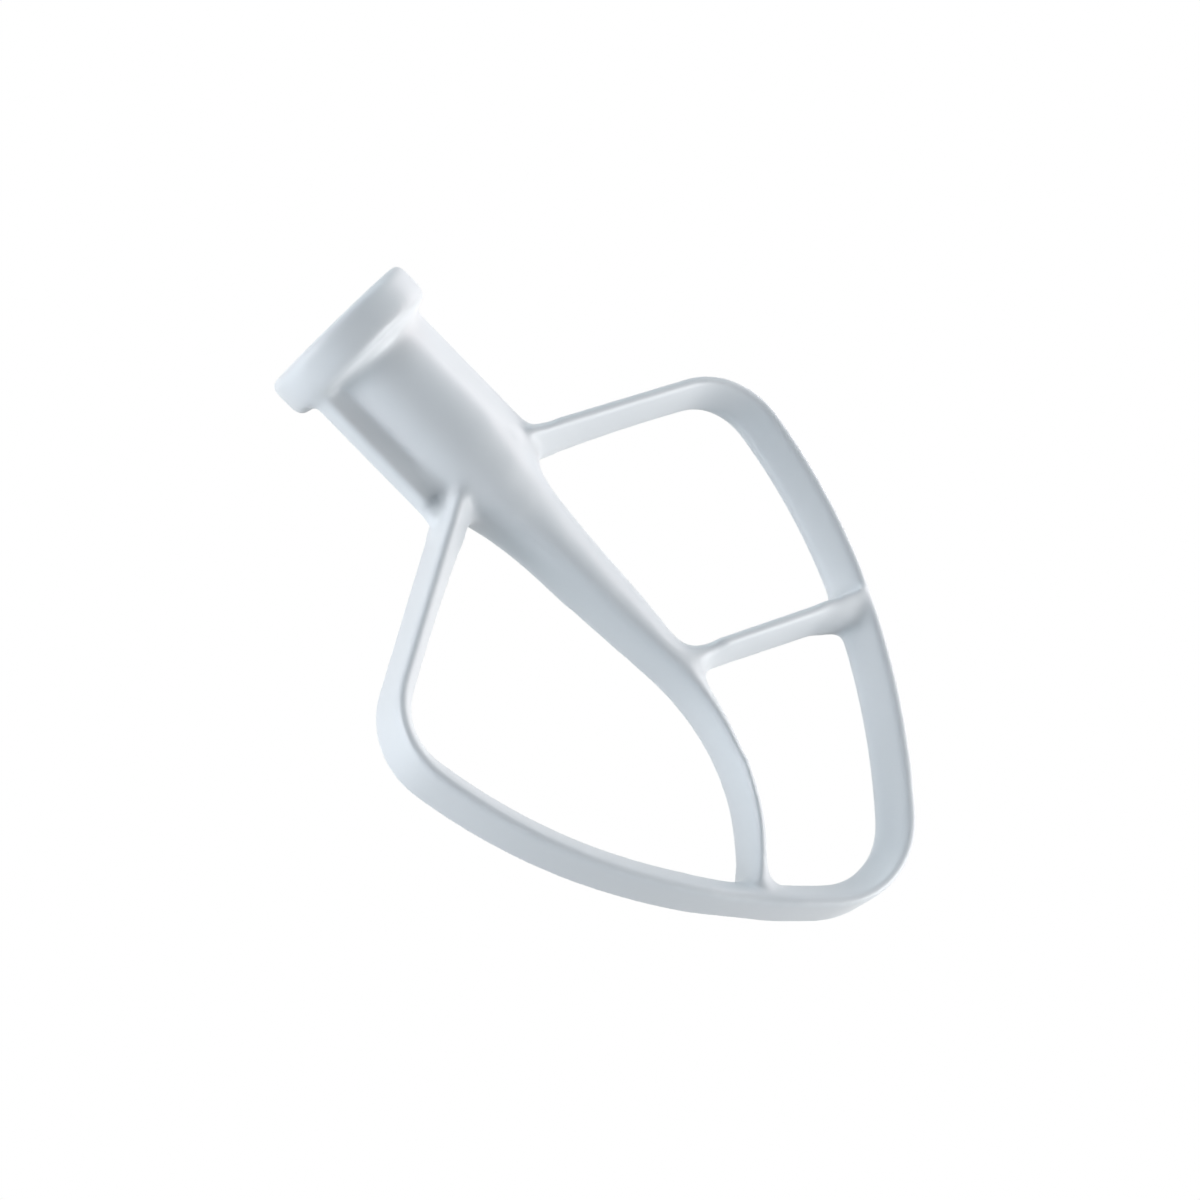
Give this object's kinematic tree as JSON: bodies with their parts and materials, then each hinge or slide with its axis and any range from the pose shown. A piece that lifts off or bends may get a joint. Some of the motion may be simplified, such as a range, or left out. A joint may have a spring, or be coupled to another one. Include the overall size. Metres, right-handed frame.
{
  "type": "stand mixer flat beater",
  "caption": "Flat beater for a stand mixer: open heart-shaped frame with a curved spine and cross bar, hanging from a bored hub with a collar.",
  "frame": {"origin": "centre of the bore's mouth on the collar's top face", "axes": "+Z out of the bore along the mixer's shaft; the frame lies in the XZ plane, the cross bar on its +X side; the bayonet slot is on +Y"},
  "size_m": [0.1138, 0.0338, 0.1511],
  "materials": {
    "white_coating": "satin white coating over cast aluminium"
  },
  "bodies": {
    "root": {"flat_beater": "white_coating"}
  },
  "joints": []
}
